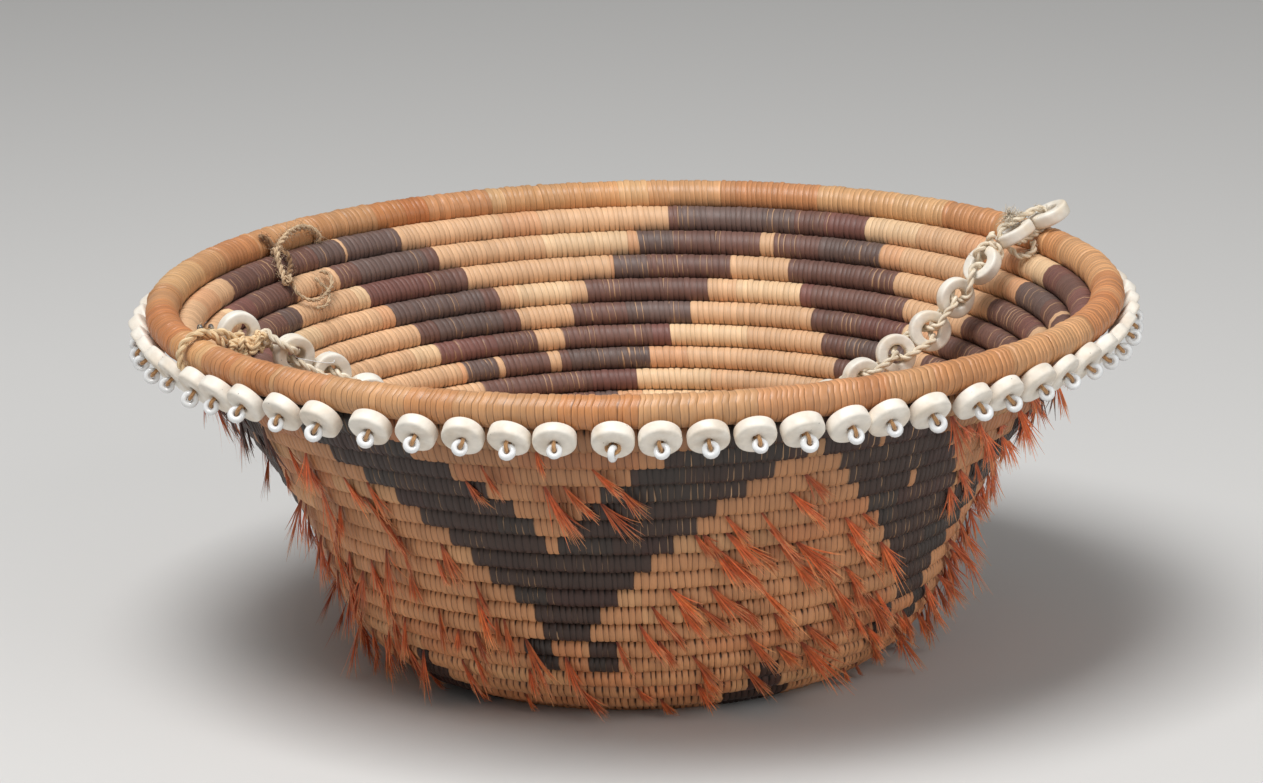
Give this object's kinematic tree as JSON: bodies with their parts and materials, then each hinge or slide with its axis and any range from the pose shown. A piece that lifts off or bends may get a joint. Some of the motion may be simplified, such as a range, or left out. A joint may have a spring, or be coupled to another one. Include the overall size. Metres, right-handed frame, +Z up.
{
  "type": "coiled bowl basket",
  "caption": "Round coiled bowl basket with a flared wall, a ring of shell discs and glass beads sewn under the rim, and a carrying string of shell discs tied across it.",
  "frame": {"origin": "middle of the base, on the surface that the basket stands on", "axes": "+Z up along the middle of the bowl; -Y is the front, where the ring of discs has its wide gap; the carrying string runs from front left (-X -Y) to back right (+X +Y)"},
  "size_m": [0.2281, 0.228, 0.0918],
  "materials": {
    "stitches": "split root stitches, satin",
    "shell": "ground clam shell, satin",
    "cord": "two-ply twisted cord",
    "twine": "rough old twine"
  },
  "bodies": {
    "basket": {"rim_coil": "stitches", "wall_coil_02": "stitches", "wall_coil_03": "stitches", "wall_coil_04": "stitches", "wall_coil_05": "stitches", "wall_coil_06": "stitches", "wall_coil_07": "stitches", "wall_coil_08": "stitches", "wall_coil_09": "stitches", "wall_coil_10": "stitches", "wall_coil_11": "stitches", "wall_coil_12": "stitches", "wall_coil_13": "stitches", "wall_coil_14": "stitches", "wall_coil_15": "stitches", "wall_coil_16": "stitches", "wall_coil_17": "stitches", "wall_coil_18": "stitches", "foot_coil": "stitches", "base_coil_1": "stitches", "base_coil_2": "stitches", "base_coil_3": "stitches", "base_coil_4": "stitches", "base_coil_5": "stitches", "base_coil_6": "stitches", "base_coil_7": "stitches", "start_knot": "stitches", "shell_disc_ring": "shell", "left_tie_disc": "shell", "rim_disc_inner": "shell", "rim_disc_outer": "shell", "left_tie_loop": "cord", "left_knot": "cord", "right_tie_cord": "cord", "twine_loop": "twine"},
    "string": {"string_cord": "cord", "string_disc_01": "shell", "string_disc_02": "shell", "string_disc_03": "shell", "string_disc_04": "shell", "string_disc_05": "shell", "string_disc_06": "shell", "string_disc_07": "shell", "string_disc_08": "shell", "string_disc_09": "shell", "string_disc_10": "shell", "string_disc_11": "shell", "string_disc_12": "shell", "string_disc_13": "shell", "string_disc_14": "shell", "string_disc_15": "shell", "string_disc_16": "shell", "string_disc_17": "shell", "string_disc_18": "shell", "string_disc_19": "shell", "string_disc_20": "shell"}
  },
  "joints": [
    {"name": "string_swing", "type": "hinge", "parent": "basket", "child": "string", "pos_m": [-0.08121, -0.04172, 0.08376], "axis": [0.9028, 0.4301, 0.0044], "range_deg": [-180, 180]}
  ]
}
